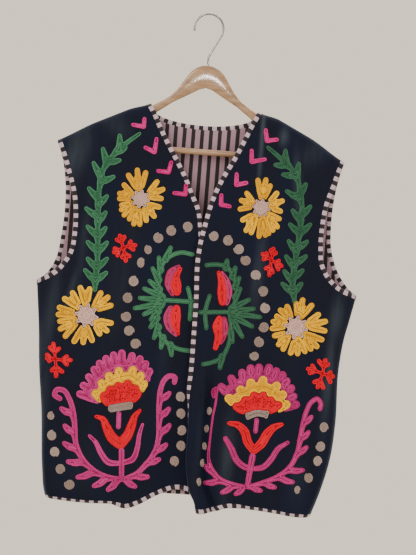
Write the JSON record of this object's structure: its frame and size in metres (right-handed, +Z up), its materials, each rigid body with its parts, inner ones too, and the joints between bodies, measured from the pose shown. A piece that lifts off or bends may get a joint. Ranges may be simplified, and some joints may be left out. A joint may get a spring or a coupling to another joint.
{
  "type": "embroidered vest on hanger",
  "caption": "Sleeveless velvet folk vest with floral embroidery and striped bias binding, open in front, hanging on a wooden hanger with a trouser bar and a wire hook.",
  "frame": {"origin": "inner top of the hanger's hook, where the hook rests on what holds it", "axes": "+Z up, the vest's front faces -Y, +X points to the wearer's left, which is the viewer's right"},
  "size_m": [0.5625, 0.0912, 0.8805],
  "materials": {
    "velvet": "dark navy velvet pile",
    "lining": "striped cotton",
    "binding": "striped cotton cut on the bias",
    "hanger_wood": "clear varnish",
    "hook_wire": "bright plated wire"
  },
  "bodies": {
    "root": {"front_right": "velvet", "front_left": "velvet", "back": "velvet", "back_lining": "lining", "edge_binding_right": "binding", "edge_binding_left": "binding", "neck_binding": "binding", "armhole_binding_right": "binding", "armhole_binding_left": "binding", "hem_binding_right": "binding", "hem_binding_left": "binding", "hem_binding_back": "binding", "hanger_yoke": "hanger_wood", "hanger_bar": "hanger_wood", "hanger_hook": "hook_wire"}
  },
  "joints": []
}
